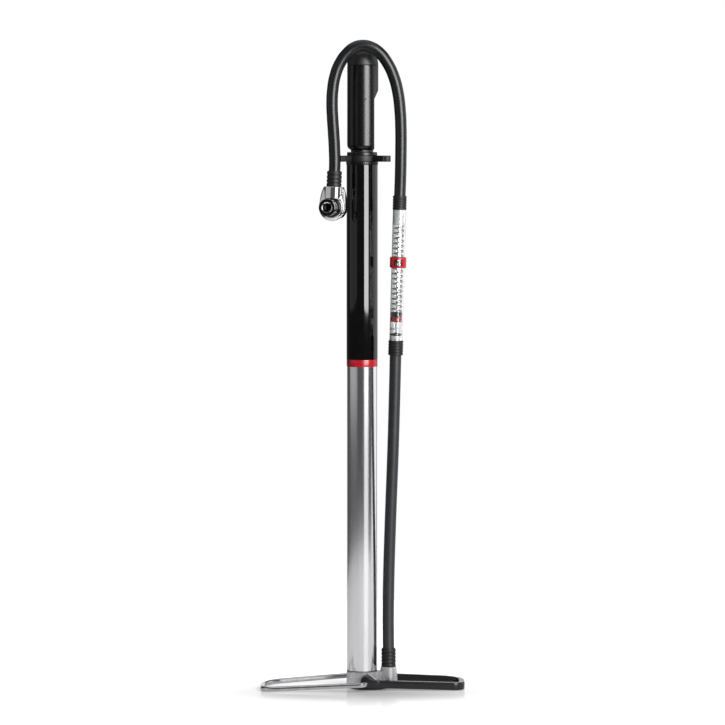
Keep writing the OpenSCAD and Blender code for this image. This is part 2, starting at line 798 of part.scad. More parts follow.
base_casting();
base_pad();
base_screw();
barrel_gasket();
barrel_tube();
barrel_sleeve();
trim_ring();
top_cap();
clip_collar();
rod_bush();
rod_wiper();
valve_seat();
valve_poppet();
valve_spring();
base_barb();
piston_rod();
rod_end_lug();
piston_head();
piston_cup();
piston_washer();
piston_nut();
top_out_bumper();
neck_bumper();
handle_grip();
handle_end_cap();
handle_pin();
wire_foot();
moulded_foot();
hose_lower();
hose_upper();
base_ferrule();
gauge_lower_ferrule();
gauge_upper_ferrule();
chuck_ferrule();
gauge_tube();
gauge_lower_plug();
gauge_upper_plug();
gauge_o_ring();
gauge_stop_ring();
gauge_piston();
gauge_piston_seal();
gauge_spring();
gauge_air_tube();
gauge_marker();
chuck_body();
chuck_barb();
chuck_nozzle();
chuck_lock_ring();
thrust_sleeve();
chuck_gland();
chuck_cap();
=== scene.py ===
import json
import math

import bmesh
import bpy
from mathutils import Matrix, Vector

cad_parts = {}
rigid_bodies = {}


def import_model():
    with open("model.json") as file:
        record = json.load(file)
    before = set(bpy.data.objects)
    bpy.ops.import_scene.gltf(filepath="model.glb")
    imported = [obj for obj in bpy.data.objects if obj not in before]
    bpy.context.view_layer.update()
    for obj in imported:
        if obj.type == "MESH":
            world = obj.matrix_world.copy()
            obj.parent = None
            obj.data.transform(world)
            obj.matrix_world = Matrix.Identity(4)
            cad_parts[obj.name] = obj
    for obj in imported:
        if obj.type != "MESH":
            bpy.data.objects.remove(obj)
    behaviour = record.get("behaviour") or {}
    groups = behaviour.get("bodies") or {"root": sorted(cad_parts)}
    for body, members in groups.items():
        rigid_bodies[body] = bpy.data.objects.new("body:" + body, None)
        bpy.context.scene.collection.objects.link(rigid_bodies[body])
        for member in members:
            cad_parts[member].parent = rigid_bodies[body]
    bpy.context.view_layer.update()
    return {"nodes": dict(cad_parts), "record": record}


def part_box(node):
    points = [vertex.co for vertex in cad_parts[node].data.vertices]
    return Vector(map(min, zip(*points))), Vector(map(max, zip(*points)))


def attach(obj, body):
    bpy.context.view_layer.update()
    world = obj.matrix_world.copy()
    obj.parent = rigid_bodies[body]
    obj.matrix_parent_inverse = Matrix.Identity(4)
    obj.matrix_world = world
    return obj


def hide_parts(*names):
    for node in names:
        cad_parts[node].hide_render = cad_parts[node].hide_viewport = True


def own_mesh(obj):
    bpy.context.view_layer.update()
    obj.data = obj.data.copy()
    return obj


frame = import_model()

# A floor bike pump, stowed. Everything is in metres, in the CAD frame: +Z up, the origin on the
# barrel's axis at floor level, +X towards the hose and +Y to the rear. Sizes are written in
# millimetres and scaled by MM, and angles are in degrees.
MM = 0.001
scene = bpy.context.scene

HOSE_D = 11.4
HINGE = Vector((3, 0, 7))           # on the axis that both feet fold about
GAUGE_AT = (32.8, -14.4, 331)       # lower end of the gauge
GAUGE_TURN = (2.4, 1.5)             # how it leans, about X and then about Y
CHUCK_AT = (-26.9, -22.5, 511.5)    # where the hose goes into the chuck's ferrule
CHUCK_TURN = (0, 2.3)
NOZZLE_YAW = 14                     # how far the nozzle is turned to the left
BULB_Z = -35.5                      # middle of the chuck's bulb, below CHUCK_AT


# ---------- frames ----------

def turn(x_degrees, y_degrees):
    """A rotation about X, followed by one about Y."""
    return (Matrix.Rotation(math.radians(y_degrees), 4, "Y")
            @ Matrix.Rotation(math.radians(x_degrees), 4, "X"))


def shift(x, y, z):
    return Matrix.Translation((x, y, z))


UPRIGHT = Matrix.Identity(4)
# Its Z axis points to the front, so that an outline's x and y lie along X and Z.
SIDE_VIEW = Matrix.Rotation(math.radians(90), 4, "X")
GAUGE = shift(*GAUGE_AT) @ turn(*GAUGE_TURN)
CHUCK = shift(*CHUCK_AT) @ turn(*CHUCK_TURN)
NOZZLE = (CHUCK @ shift(0, 0, BULB_Z)
          @ Matrix.Rotation(math.radians(-NOZZLE_YAW), 4, "Z") @ SIDE_VIEW)


def span(node):
    """Lowest and highest z of a CAD node, in millimetres."""
    low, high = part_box(node)
    return low.z / MM, high.z / MM


def radius(node):
    """Half the width of a round CAD node along Y, in millimetres."""
    low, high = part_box(node)
    return (high.y - low.y) / 2 / MM


# ---------- camera ----------

CAMERA_AT = Vector((0.0004, -3.6, 0.551))
CAMERA_AIM = Vector((0.0004, 0, 0.3227))
SENSOR, LENS = 36, 181.7


def add_object(name, data):
    obj = bpy.data.objects.new(name, data)
    scene.collection.objects.link(obj)
    return obj


def add_camera():
    """Stands 3.6 m in front of the barrel, as high as the handle, and looks slightly down."""
    data = bpy.data.cameras.new("camera")
    data.sensor_width = SENSOR
    data.lens = LENS
    camera = add_object("camera", data)
    camera.location = CAMERA_AT
    camera.rotation_euler = (CAMERA_AIM - CAMERA_AT).to_track_quat("-Z", "Y").to_euler()
    scene.camera = camera


add_camera()


# ---------- procedural materials ----------

PATCH_BAND = (0.35, 0.65)           # the values of the noise between which the colour changes
GRAIN_BAND = (0.3, 0.7)             # and those between which the roughness does
PATCH_DETAIL, GRAIN_DETAIL = 5, 6


def set_inputs(node, inputs):
    """Sets a node's sockets by name, with _ in place of a space."""
    for socket, value in inputs.items():
        node.inputs[socket.replace("_", " ")].default_value = value


def add_node(tree, kind, **inputs):
    """Adds a shader node, and sets the sockets that are named."""
    node = tree.nodes.new("ShaderNode" + kind)
    set_inputs(node, inputs)
    return node


def wire(tree, source, output, target, socket):
    """Links a node's output to another node's socket."""
    tree.links.new(source.outputs[output], target.inputs[socket])


def map_range(tree, source, output, band, values):
    """Spreads a band of a node's output over a pair of values."""
    node = add_node(tree, "MapRange", From_Min=band[0], From_Max=band[1],
                    To_Min=values[0], To_Max=values[1])
    wire(tree, source, output, node, "Value")
    return node


def noise_node(tree, scale, detail, stretch):
    """Noise in object space, scale waves per metre, stretched along the axes."""
    where = add_node(tree, "TexCoord")
    mapping = add_node(tree, "Mapping", Scale=stretch)
    noise = add_node(tree, "TexNoise", Scale=scale, Detail=detail)
    wire(tree, where, "Object", mapping, "Vector")
    wire(tree, mapping, "Vector", noise, "Vector")
    return noise


def material(name, colours, rough, patch=90, grain=900, bump=0.1, depth=0.02,
             stretch=(1, 1, 1), **uniform):
    """A surface whose colour drifts in patches, with a fine grain in its roughness and bump.

    colours and rough are (low, high) pairs, patch and grain are waves per metre, depth is in mm,
    and uniform holds values for the shader's own sockets."""
    mat = bpy.data.materials.new(name)
    mat.use_nodes = True
    tree = mat.node_tree
    shader = tree.nodes["Principled BSDF"]
    set_inputs(shader, uniform)
    drift = noise_node(tree, patch, PATCH_DETAIL, stretch)
    tint = add_node(tree, "ValToRGB")
    for element, place, colour in zip(tint.color_ramp.elements, PATCH_BAND, colours):
        element.position = place
        element.color = (*colour, 1)
    wire(tree, drift, "Fac", tint, "Fac")
    wire(tree, tint, "Color", shader, "Base Color")
    fine = noise_node(tree, grain, GRAIN_DETAIL, stretch)
    gloss = map_range(tree, fine, "Fac", GRAIN_BAND, rough)
    wire(tree, gloss, "Result", shader, "Roughness")
    relief = add_node(tree, "Bump", Strength=bump, Distance=depth * MM)
    wire(tree, fine, "Fac", relief, "Height")
    wire(tree, relief, "Normal", shader, "Normal")
    return mat


def grey(low, high):
    """A pair of greys, each a touch bluer than neutral."""
    return ((low, low, low * 1.03), (high, high, high * 1.03))


FINISH = {}


def finish(name, *looks, **options):
    """Makes a material, and keeps it under its name."""
    FINISH[name] = material(name, *looks, **options)


# Metals
finish("polished_aluminium", grey(0.72, 0.80), (0.17, 0.23), patch=60, grain=2200, bump=0.22,
       depth=0.003, stretch=(1, 1, 0.012), Metallic=1.0)
finish("cast_aluminium", grey(0.62, 0.76), (0.38, 0.50), patch=260, grain=1300, bump=0.55,
       depth=0.05, Metallic=1.0)
finish("steel", grey(0.16, 0.24), (0.22, 0.32), patch=200, grain=1600, bump=0.15, Metallic=1.0)
finish("dark_steel", grey(0.03, 0.05), (0.26, 0.36), patch=200, grain=1600, bump=0.15,
       Metallic=1.0)
finish("chrome", grey(0.76, 0.84), (0.05, 0.10), patch=140, grain=600, bump=0.08, depth=0.01,
       Metallic=1.0)
finish("wire_chrome", grey(0.44, 0.54), (0.20, 0.28), patch=140, grain=600, bump=0.08,
       depth=0.01, Metallic=1.0)
finish("brass", ((0.62, 0.42, 0.14), (0.72, 0.52, 0.20)), (0.24, 0.38), patch=300, Metallic=1.0)

# Plastics
finish("gloss_black", grey(0.0006, 0.0014), (0.05, 0.08), grain=1500, bump=0.05, depth=0.006)
finish("black_threaded", grey(0.0010, 0.0025), (0.08, 0.14), patch=300, grain=1800, bump=0.05,
       depth=0.01)
finish("red_trim", ((0.27, 0.002, 0.007), (0.32, 0.004, 0.010)), (0.22, 0.32), patch=200)
finish("black_nylon", grey(0.0016, 0.0032), (0.44, 0.54), patch=200, grain=2200, bump=0.25,
       Specular_IOR_Level=0.36)
finish("foot_nylon", grey(0.0040, 0.0070), (0.18, 0.25), patch=200, grain=2200, bump=0.16,
       Specular_IOR_Level=0.36)
finish("cap_nylon", grey(0.0016, 0.0032), (0.28, 0.36), patch=200, grain=2200, bump=0.2,
       Specular_IOR_Level=0.36)
finish("handle_plastic", grey(0.0010, 0.0020), (0.23, 0.29), patch=120, grain=2600, bump=0.20,
       Specular_IOR_Level=0.42)
finish("clear_plastic", ((0.85, 0.86, 0.855), (0.89, 0.90, 0.895)), (0.02, 0.06), patch=80,
       grain=700, bump=0.05, depth=0.01, IOR=1.49, Transmission_Weight=1.0)
finish("pale_plastic", ((0.52, 0.54, 0.53), (0.60, 0.62, 0.61)), (0.30, 0.42), patch=300)
finish("bush_plastic", ((0.50, 0.42, 0.30), (0.58, 0.49, 0.36)), (0.40, 0.55), patch=300)

# Rubbers
finish("handle_rubber", grey(0.0028, 0.0048), (0.42, 0.52), patch=150, grain=2600, bump=0.35)
finish("black_rubber", grey(0.0025, 0.0045), (0.55, 0.72), patch=300, grain=1800, bump=0.4,
       depth=0.03)
finish("hose_rubber", ((0.0070, 0.0078, 0.0092), (0.0095, 0.0105, 0.0122)), (0.40, 0.48),
       patch=140, grain=2400, bump=0.3, Specular_IOR_Level=0.44)
# The hose rubber made darker and glossier for the upper hose; its darker colour is painted shade.
finish("shaded_arch_rubber", ((0.0030, 0.0034, 0.0042), (0.0048, 0.0054, 0.0064)), (0.28, 0.35),
       patch=140, grain=2400, bump=0.25, Specular_IOR_Level=0.38)
finish("ferrule_rubber", grey(0.0030, 0.0055), (0.42, 0.54), patch=240, grain=2000, bump=0.35,
       Specular_IOR_Level=0.36)

SLOT = {part["node"]: part["material_slot"] for part in frame["record"]["subparts"]}
BODIES = frame["record"]["behaviour"]["bodies"]
BODY = {node: body for body, nodes in BODIES.items() for node in nodes}


def dress(obj, mat):
    """Gives an object one material in every slot."""
    if not obj.data.materials:
        obj.data.materials.append(mat)
    for index in range(len(obj.data.materials)):
        obj.data.materials[index] = mat


for node_name, node_object in frame["nodes"].items():
    dress(node_object, FINISH[SLOT[node_name]])


# ---------- outlines ----------

def circle(r, n):
    """Points round a circle."""
    return [(r * math.cos(2 * math.pi * k / n), r * math.sin(2 * math.pi * k / n))
            for k in range(n)]


def arc(cx, cy, r, start, end, steps):
    """Points along a circle's arc between two angles."""
    points = []
    for step in range(steps + 1):
        angle = math.radians(start + (end - start) * step / steps)
        points.append((cx + r * math.cos(angle), cy + r * math.sin(angle)))
    return points


def fillet(outline, steps=4):
    """Rounds the corners (x, y, radius) of a closed outline with arcs."""
    points = []
    for index, (x, y, r) in enumerate(outline):
        corner = Vector((x, y))
        if not r:
            points.append((x, y))
            continue
        back = (Vector(outline[index - 1][:2]) - corner).normalized()
        ahead = (Vector(outline[(index + 1) % len(outline)][:2]) - corner).normalized()
        half = back.angle(ahead) / 2
        start = corner + back * r / math.tan(half)
        centre = corner + (back + ahead).normalized() * r / math.sin(half)
        first = start - centre
        bend = math.pi - 2 * half
        side = 1 if back.x * ahead.y - back.y * ahead.x < 0 else -1
        for step in range(steps + 1):
            angle = side * bend * step / steps
            c, s = math.cos(angle), math.sin(angle)
            points.append((centre.x + first.x * c - first.y * s,
                           centre.y + first.x * s + first.y * c))
    return points


def ring_profile(inner, outer, low, high, edge):
    """The outline of a ring's wall, with its outer edges rounded."""
    return fillet([(inner, low, 0), (outer, low, edge), (outer, high, edge), (inner, high, 0)])


# ---------- mesh tools ----------

SAME_POINT = 0.002                  # points nearer than this are one point


def mesh_object(name, verts, faces, at=UPRIGHT):
    """A new object from points in millimetres in the frame at."""
    mesh = bpy.data.meshes.new(name)
    mesh.from_pydata([(at @ Vector(v)) * MM for v in verts], [], faces)
    return add_object(name, mesh)


def object_from(bm, name):
    """A new object from a bmesh, which is freed."""
    mesh = bpy.data.meshes.new(name)
    bm.to_mesh(mesh)
    bm.free()
    return add_object(name, mesh)


def clean(obj, sharp=32):
    """Merges doubled points, turns faces outwards, and marks edges over the sharp angle."""
    bm = bmesh.new()
    bm.from_mesh(obj.data)
    bmesh.ops.remove_doubles(bm, verts=bm.verts, dist=SAME_POINT * MM)
    bmesh.ops.recalc_face_normals(bm, faces=bm.faces)
    limit = math.radians(sharp)
    for edge in bm.edges:
        edge.smooth = not (len(edge.link_faces) == 2 and edge.calc_face_angle() > limit)
    for face in bm.faces:
        face.smooth = True
    bm.to_mesh(obj.data)
    bm.free()
    return obj


def settle(obj):
    """Applies an object's modifiers to its mesh."""
    graph = bpy.context.evaluated_depsgraph_get()
    baked = bpy.data.meshes.new_from_object(obj.evaluated_get(graph))
    obj.modifiers.clear()
    obj.data = baked
    return obj


def stand_for(node, obj, sharp=32, look=None):
    """Finishes a piece that shows in place of a CAD node, and lets it ride on the node's body."""
    if obj.type == "MESH":
        clean(obj, sharp)
    dress(obj, FINISH[look or SLOT[node]])
    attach(obj, BODY[node])
    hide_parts(node)
    return obj


def lathe(name, profile, at=UPRIGHT, segments=96, ripple=None):
    """Turns a closed profile of (radius, z) round the frame's Z axis.

    ripple(angle, r, z), where given, says how far out each point goes instead of r."""
    verts = []
    for k in range(segments):
        angle = 2 * math.pi * k / segments
        for r, z in profile:
            reach = ripple(angle, r, z) if ripple else r
            verts.append((reach * math.cos(angle), reach * math.sin(angle), z))
    n = len(profile)
    faces = []
    for k in range(segments):
        here, there = k * n, (k + 1) % segments * n
        for i in range(n):
            j = (i + 1) % n
            faces.append((here + i, here + j, there + j, there + i))
    return mesh_object(name, verts, faces, at)


def ring(node, inner, outer, low, high, at, edge=0.2, segments=96, look=None):
    """A turned ring that shows in place of a round CAD node."""
    profile = ring_profile(inner, outer, low, high, edge)
    return stand_for(node, lathe("turned_" + node, profile, at, segments), look=look)


def skin_faces(rings, n):
    """The faces over a row of rings of n points each, and over both of its ends."""
    faces = [tuple(range(n)), tuple(range((rings - 1) * n, rings * n))]
    for i in range(rings - 1):
        here, there = i * n, (i + 1) * n
        for k in range(n):
            j = (k + 1) % n
            faces.append((here + k, here + j, there + j, there + k))
    return faces


def sweep(name, path, outline, at=UPRIGHT):
    """Carries an outline of (side, up) offsets along an open path."""
    up = Vector((0, 0, 1))
    last = len(path) - 1
    verts = []
    for i in range(len(path)):
        tangent = (Vector(path[min(i + 1, last)]) - Vector(path[max(i - 1, 0)])).normalized()
        side = tangent.cross(up).normalized()
        rise = side.cross(tangent)
        verts += [Vector(path[i]) + side * u + rise * v for u, v in outline]
    return mesh_object(name, verts, skin_faces(len(path), len(outline)), at)


def loft(name, first, second, low, high, at=UPRIGHT):
    """A solid from one outline at the low end to another, of as many points, at the high end."""
    verts = [(x, y, low) for x, y in first] + [(x, y, high) for x, y in second]
    return mesh_object(name, verts, skin_faces(2, len(first)), at)


def round_edges(obj, width, angle=35):
    """Bevels the edges that are sharper than an angle."""
    bevel = obj.modifiers.new("edge", "BEVEL")
    bevel.width = width * MM
    bevel.segments = 3
    bevel.limit_method = "ANGLE"
    bevel.angle_limit = math.radians(angle)
    return settle(obj)


def prism(name, outline, low, high, at=UPRIGHT, edge=0.0):
    """Extrudes a closed outline along the frame's Z axis, with its edges bevelled."""
    obj = loft(name, outline, outline, low, high, at)
    if edge:
        round_edges(clean(obj), edge, angle=40)
    return obj


def rod(name, r, low, high, at=UPRIGHT, segments=64, top=None):
    """A solid round bar, or a cone when the radius at its top is given."""
    return loft(name, circle(r, segments), circle(top or r, segments), low, high, at)


def block(name, low, high):
    """A box from its lowest to its highest corner."""
    outline = [(low[0], low[1]), (high[0], low[1]), (high[0], high[1]), (low[0], high[1])]
    return prism(name, outline, low[2], high[2])


def convex_skin(name, points):
    """The convex skin round a cloud of points."""
    bm = bmesh.new()
    for point in points:
        bm.verts.new(point * MM)
    hull = bmesh.ops.convex_hull(bm, input=bm.verts)
    inside = {g for g in hull["geom_interior"] if isinstance(g, bmesh.types.BMVert)}
    bmesh.ops.delete(bm, geom=list(inside), context="VERTS")
    return object_from(bm, name)


def join(name, objects):
    """Joins loose meshes into one object without moving their points."""
    bm = bmesh.new()
    for obj in objects:
        bm.from_mesh(obj.data)
        bpy.data.objects.remove(obj)
    return object_from(bm, name)


def cast(name, objects, grid, passes):
    """Melts overlapping solids into one skin with soft inner corners, as a casting has.

    grid is the size of a voxel in millimetres, and passes is how often the skin is smoothed."""
    obj = join(name, [clean(o) for o in objects])
    remesh = obj.modifiers.new("skin", "REMESH")
    remesh.mode = "VOXEL"
    remesh.voxel_size = grid * MM
    soften = obj.modifiers.new("soften", "SMOOTH")
    soften.factor = 0.5
    soften.iterations = passes
    return settle(obj)


def carve(obj, *cutters):
    """Cuts closed meshes out of an object."""
    for cutter in cutters:
        clean(cutter)
        cut = obj.modifiers.new("cut", "BOOLEAN")
        cut.object = cutter
        cut.solver = "EXACT"
    settle(obj)
    for cutter in cutters:
        bpy.data.objects.remove(cutter)
    return obj


# ---------- hose ----------

LOWER_ROUTE = [
    (26.2, 0, 21.2), (26.2, 0, 34), (26, -0.2, 50), (25.9, -0.8, 70), (26.1, -1.7, 95),
    (26.7, -3, 125), (27.6, -4.7, 155), (28.6, -6.5, 185), (29.7, -8.4, 215), (30.7, -10.2, 245),
    (31.5, -11.8, 275), (32.2, -13.2, 303), (32.6, -14, 321),
]
UPPER_ROUTE = [
    (37.3, -21.4, 499), (37.7, -22, 515), (37.9, -22.3, 532), (37.9, -22.5, 551),
    (37.1, -22.5, 570), (34.9, -22.5, 588), (31, -22.5, 603), (25, -22.5, 616),
    (17, -22.5, 626.5), (8.5, -22.5, 632), (0.4, -22.5, 633.5), (-7.5, -22.5, 631.6),
    (-15.5, -22.5, 625), (-22, -22.5, 615.5), (-26.3, -22.5, 604), (-28.6, -22.5, 591),
    (-29.3, -22.5, 577), (-28.7, -22.5, 562), (-27.7, -22.5, 547), (-27, -22.5, 534),
]
TUBE_LOW, TUBE_HIGH = 14.5, 143     # ends of the gauge's clear tube, in its own frame
UPPER_FERRULE_H = 13.5
CHUCK_FERRULE_H = 15.2


def on_axis(frame_at, *heights):
    """Points at some heights on a frame's Z axis."""
    return [frame_at @ Vector((0, 0, z)) for z in heights]


def hose(node, route, look=None):
    """A hose along a route in millimetres, as a smooth curve through its points."""
    data = bpy.data.curves.new("soft_" + node, "CURVE")
    data.dimensions = "3D"
    data.bevel_depth = HOSE_D / 2 * MM
    data.bevel_resolution = 8
    data.resolution_u = 8
    spline = data.splines.new("BEZIER")
    spline.bezier_points.add(len(route) - 1)
    for point, place in zip(spline.bezier_points, route):
        point.co = Vector(place) * MM
        point.handle_left_type = point.handle_right_type = "AUTO"
    return stand_for(node, add_object("soft_" + node, data), look=look)


def ferrule(node, r, height, ribs, at):
    """A moulded rubber sleeve round the hose, with rounded ribs."""
    bore = HOSE_D / 2 + 0.05
    pitch = height / ribs
    groove = 0.6
    outline = [(bore, 0, 0), (r - groove, 0, 0)]
    for k in range(ribs):
        z = k * pitch
        outline += [(r, z + 0.08 * pitch, 0.3), (r, z + 0.80 * pitch, 0.3),
                    (r - groove, z + 0.86 * pitch, 0.08), (r - groove, z + pitch, 0)]
    outline.append((bore, height, 0))
    return stand_for(node, lathe("ribbed_" + node, fillet(outline), at))


lower_hose = hose("hose_lower", LOWER_ROUTE + on_axis(GAUGE, 0, TUBE_LOW))
# The upper hose takes the darker rubber, painted shade.
upper_hose = hose("hose_upper", on_axis(GAUGE, TUBE_HIGH, TUBE_HIGH + UPPER_FERRULE_H)
                  + UPPER_ROUTE + on_axis(CHUCK, 6, 0, -CHUCK_FERRULE_H), look="shaded_arch_rubber")

base_ferrule = ferrule("base_ferrule", r=7.2, height=18, ribs=5, at=shift(*LOWER_ROUTE[0]))
low_ferrule = ferrule("gauge_lower_ferrule", r=7.3, height=TUBE_LOW, ribs=5, at=GAUGE)
high_ferrule = ferrule("gauge_upper_ferrule", r=6.8, height=UPPER_FERRULE_H, ribs=5,
                       at=GAUGE @ shift(0, 0, TUBE_HIGH))
chuck_ferrule = ferrule("chuck_ferrule", r=7.3, height=CHUCK_FERRULE_H, ribs=4,
                        at=CHUCK @ shift(0, 0, -CHUCK_FERRULE_H))


# ---------- gauge on the hose ----------

GAUGE_BORE, GAUGE_R = 5.8, 6.5
PLUG_R = GAUGE_BORE - 0.02
PISTON_LOW, PISTON_HIGH, SEAL_HIGH = 33, 38, 42.5
SPRING_LOW, SPRING_HIGH, GAUGE_TRAVEL = 42.6, 127.5, 50


def coil(node, r, wire_r, low, high, turns, at):
    """A coil spring between two heights on the frame's axis."""
    per_turn = 28
    path = []
    for step in range(turns * per_turn + 1):
        angle = 2 * math.pi * step / per_turn
        rise = low + wire_r + (high - low - 2 * wire_r) * step / (turns * per_turn)
        path.append((r * math.cos(angle), r * math.sin(angle), rise))
    return stand_for(node, sweep("coiled_" + node, path, circle(wire_r, 8), at), sharp=60)


def gauge_spring():
    """The gauge's coil spring, on a mesh of its own."""
    obj = coil("gauge_spring", r=4.8, wire_r=0.55, low=SPRING_LOW, high=SPRING_HIGH, turns=17,
               at=GAUGE)
    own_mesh(obj)
    return obj


def gauge_marker():
    """A red sleeve that slides on the tube, with a window through its front."""
    bore, r, low, high = 6.58, 8.1, 86, 96.4
    half, margin = 3.8, 1.8
    wall = fillet([(bore, low, 0.2), (r, low, 0.7), (r, high, 0.7), (bore, high, 0.2)])
    window = fillet([(-half, low + margin, 0.7), (half, low + margin, 0.7),
                     (half, high - margin, 0.7), (-half, high - margin, 0.7)])
    obj = lathe("window_marker", wall, GAUGE)
    carve(clean(obj), prism("window", window, 1, 20, GAUGE @ SIDE_VIEW))
    return stand_for("gauge_marker", obj)


gauge_pieces = [
    ring("gauge_tube", GAUGE_BORE, GAUGE_R, TUBE_LOW, TUBE_HIGH, GAUGE),
    ring("gauge_lower_plug", 1.12, PLUG_R, TUBE_LOW, TUBE_LOW + 5, GAUGE),
    ring("gauge_upper_plug", 1.12, PLUG_R, TUBE_HIGH - 15, TUBE_HIGH, GAUGE),
    ring("gauge_o_ring", 3, PLUG_R, TUBE_LOW + 5, TUBE_LOW + 7, GAUGE, edge=0.9),
    ring("gauge_stop_ring", 3, PLUG_R, TUBE_LOW + 10.4, TUBE_LOW + 12.4, GAUGE, edge=0.4),
    ring("gauge_piston", 1.2, GAUGE_BORE - 0.05, PISTON_LOW, PISTON_HIGH, GAUGE, edge=0.4),
    ring("gauge_piston_seal", 1.2, GAUGE_BORE - 0.3, PISTON_HIGH, SEAL_HIGH, GAUGE, edge=0.8),
    ring("gauge_air_tube", 0.5, 1.1, TUBE_LOW, TUBE_HIGH, GAUGE, edge=0.05, look="chrome"),
    gauge_spring(),
    gauge_marker(),
]


# ---------- chuck on the hose's end ----------

CHUCK_HALF = 6.5                    # half the bulb's thickness, from back to front
NOZZLE_BORE_R = 5.25


def disc_points(frame_at, r, z):
    """Points round a frame's Z axis, at one height."""
    return [frame_at @ Vector((x, y, z)) for x, y in circle(r, 48)]


def chuck_body():
    """A flat pear-shaped bulb with a round neck, and a round boss in front for the nozzle."""
    bulb_r, edge = 13.4, 2.2
    rim = []
    for r, z in [(bulb_r - edge, CHUCK_HALF), (bulb_r - 0.6, CHUCK_HALF - 0.8),
                 (bulb_r, CHUCK_HALF - edge)]:
        rim += disc_points(NOZZLE, r, z) + disc_points(NOZZLE, r, -z)
    shoulders = [(9.8, 6, -15.6), (10.5, 6.3, -17), (11.8, 6.5, -20.5), (12.8, 6.5, -25)]
    for width, depth, z in shoulders:
        rim += [CHUCK @ Vector((x * width, y * depth, z)) for x, y in circle(1, 48)]
    neck = rod("neck", 9.9, -27, -CHUCK_FERRULE_H - 0.05, CHUCK)
    boss = rod("boss", 10.4, -CHUCK_HALF, CHUCK_HALF + 0.5, NOZZLE)
    body = cast("pear_chuck_body", [convex_skin("pear", rim), neck, boss], grid=0.4,
                passes=2)
    recess = rod("recess", 8.7, CHUCK_HALF, CHUCK_HALF + 12, NOZZLE)
    mouth = rod("mouth", 4.9, -3, 20, NOZZLE)
    duct = rod("duct", 4.1, -24.5, 10, CHUCK)
    carve(clean(body), recess, mouth, duct)
    return stand_for("chuck_body", body, sharp=50)


def chuck_nozzle():
    """A threaded tube that the cap turns on."""
    root, crest, pitch, threads = 6.3, 6.95, 2.2, 5
    outline = [(NOZZLE_BORE_R, CHUCK_HALF, 0)]
    for k in range(threads):
        z = CHUCK_HALF + k * pitch
        outline += [(root, z, 0.1), (crest, z + 0.7, 0.2), (crest, z + 1.2, 0.2),
                    (root, z + 1.9, 0.1)]
    outline.append((NOZZLE_BORE_R, CHUCK_HALF + threads * pitch - 0.2, 0))
    return stand_for("chuck_nozzle", lathe("threaded_nozzle", fillet(outline), NOZZLE))


def chuck_cap():
    """A black nut with a collar at its back, a chamfer in front and grips all round."""
    low, high, r, grip_sink = 11.1, 24, 8.4, 0.35
    bore, mouth, neck = 7.05, 5.35, r - 0.5
    outline = [(bore, low, 0), (r, low, 0.7), (r, low + 2.2, 0.3), (neck, low + 2.6, 0.2),
               (neck, low + 3.3, 0.2), (r, low + 3.7, 0.3), (r, high - 0.4, 0.1),
               (r - 0.7, high, 0.1), (mouth, high, 0.3), (mouth, high - 5.4, 0),
               (bore, high - 5.8, 0)]

    def grips(angle, reach, z):
        """Sinks the grooves between the grips."""
        side = low + 4.4 < z < high - 2 and reach > r - 0.2
        return reach - grip_sink if side and math.cos(18 * angle) > 0.55 else reach

    rows = fillet(outline)
    on_side = [i for i, (x, z) in enumerate(rows)
               if abs(x - r) < 1e-6 and low + 3.6 < z < high - 1.2]
    after = on_side[-1] + 1
    rows[after:after] = [(r, low + 4.3), (r, low + 4.5), (r, high - 2.1), (r, high - 1.9)]
    cap = lathe("knurled_cap", rows, NOZZLE, segments=216, ripple=grips)
    return stand_for("chuck_cap", cap)


def thrust_sleeve():
    """The bright sleeve in the cap's mouth, with a sunk front face that catches the light."""
    inner, low, high, sink = 4.5, 9, 23.8, 0.35
    profile = [(inner, low), (NOZZLE_BORE_R, low), (NOZZLE_BORE_R, high), (inner, high - sink)]
    return stand_for("thrust_sleeve", lathe("sunk_thrust_sleeve", profile, NOZZLE))


chuck_pieces = [
    chuck_body(),
    chuck_nozzle(),
    # The lock ring is drawn black, and wider than its CAD node, to fill the boss's recess: painted
    # shade in the recess.
    ring("chuck_lock_ring", 6.95, 9.4, 7.1, 9.6, NOZZLE, edge=0.7, look="black_threaded"),
    thrust_sleeve(),
    ring("chuck_gland", 3.7, 4.85, 1, 7.9, NOZZLE),
    chuck_cap(),
]


# ---------- barrel, cap and rod ----------

ROD_BORE, ROD_R = 4.8, 6
BARREL_R = radius("barrel_tube")
BARREL_BORE = BARREL_R - 1.4
COLLAR_SEAT = 13                    # radius of the cap under the hose collar
CAP_R = 15.7
SLOT_W = 12.8                       # width of the slot in the handle


def upright_ring(node, inner, outer, edge):
    """A ring on the barrel's axis, as high as its CAD node."""
    low, high = span(node)
    return ring(node, inner, outer, low, high, UPRIGHT, edge=edge, segments=160)


def top_cap():
    """The screwed cap: a flange with a serrated lower rim, and a turned top above the collar."""
    bore, notches = 7.9, 44
    foot, flange, notch_top, seat, crown, top = 500, 517.4, 519.7, 520.35, 526.55, 529.8
    outline = [(bore, foot, 0), (13.5, foot, 0), (13.5, flange, 0), (CAP_R, flange, 0.25),
               (CAP_R, notch_top, 0), (CAP_R, notch_top + 0.15, 0), (CAP_R, seat, 0.15),
               (COLLAR_SEAT, seat, 0), (COLLAR_SEAT, crown, 0), (14.9, crown, 0.2),
               (14.9, top, 0.8), (bore, top, 0.3)]

    def serration(angle, reach, z):
        """Sinks the notches in the flange's lower rim."""
        cut = reach > 15 and z < notch_top + 0.1 and math.cos(notches * angle) > 0.1
        return reach - 0.9 if cut else reach

    cap = lathe("serrated_cap", fillet(outline), segments=notches * 8, ripple=serration)
    return stand_for("top_cap", cap, look="cap_nylon")


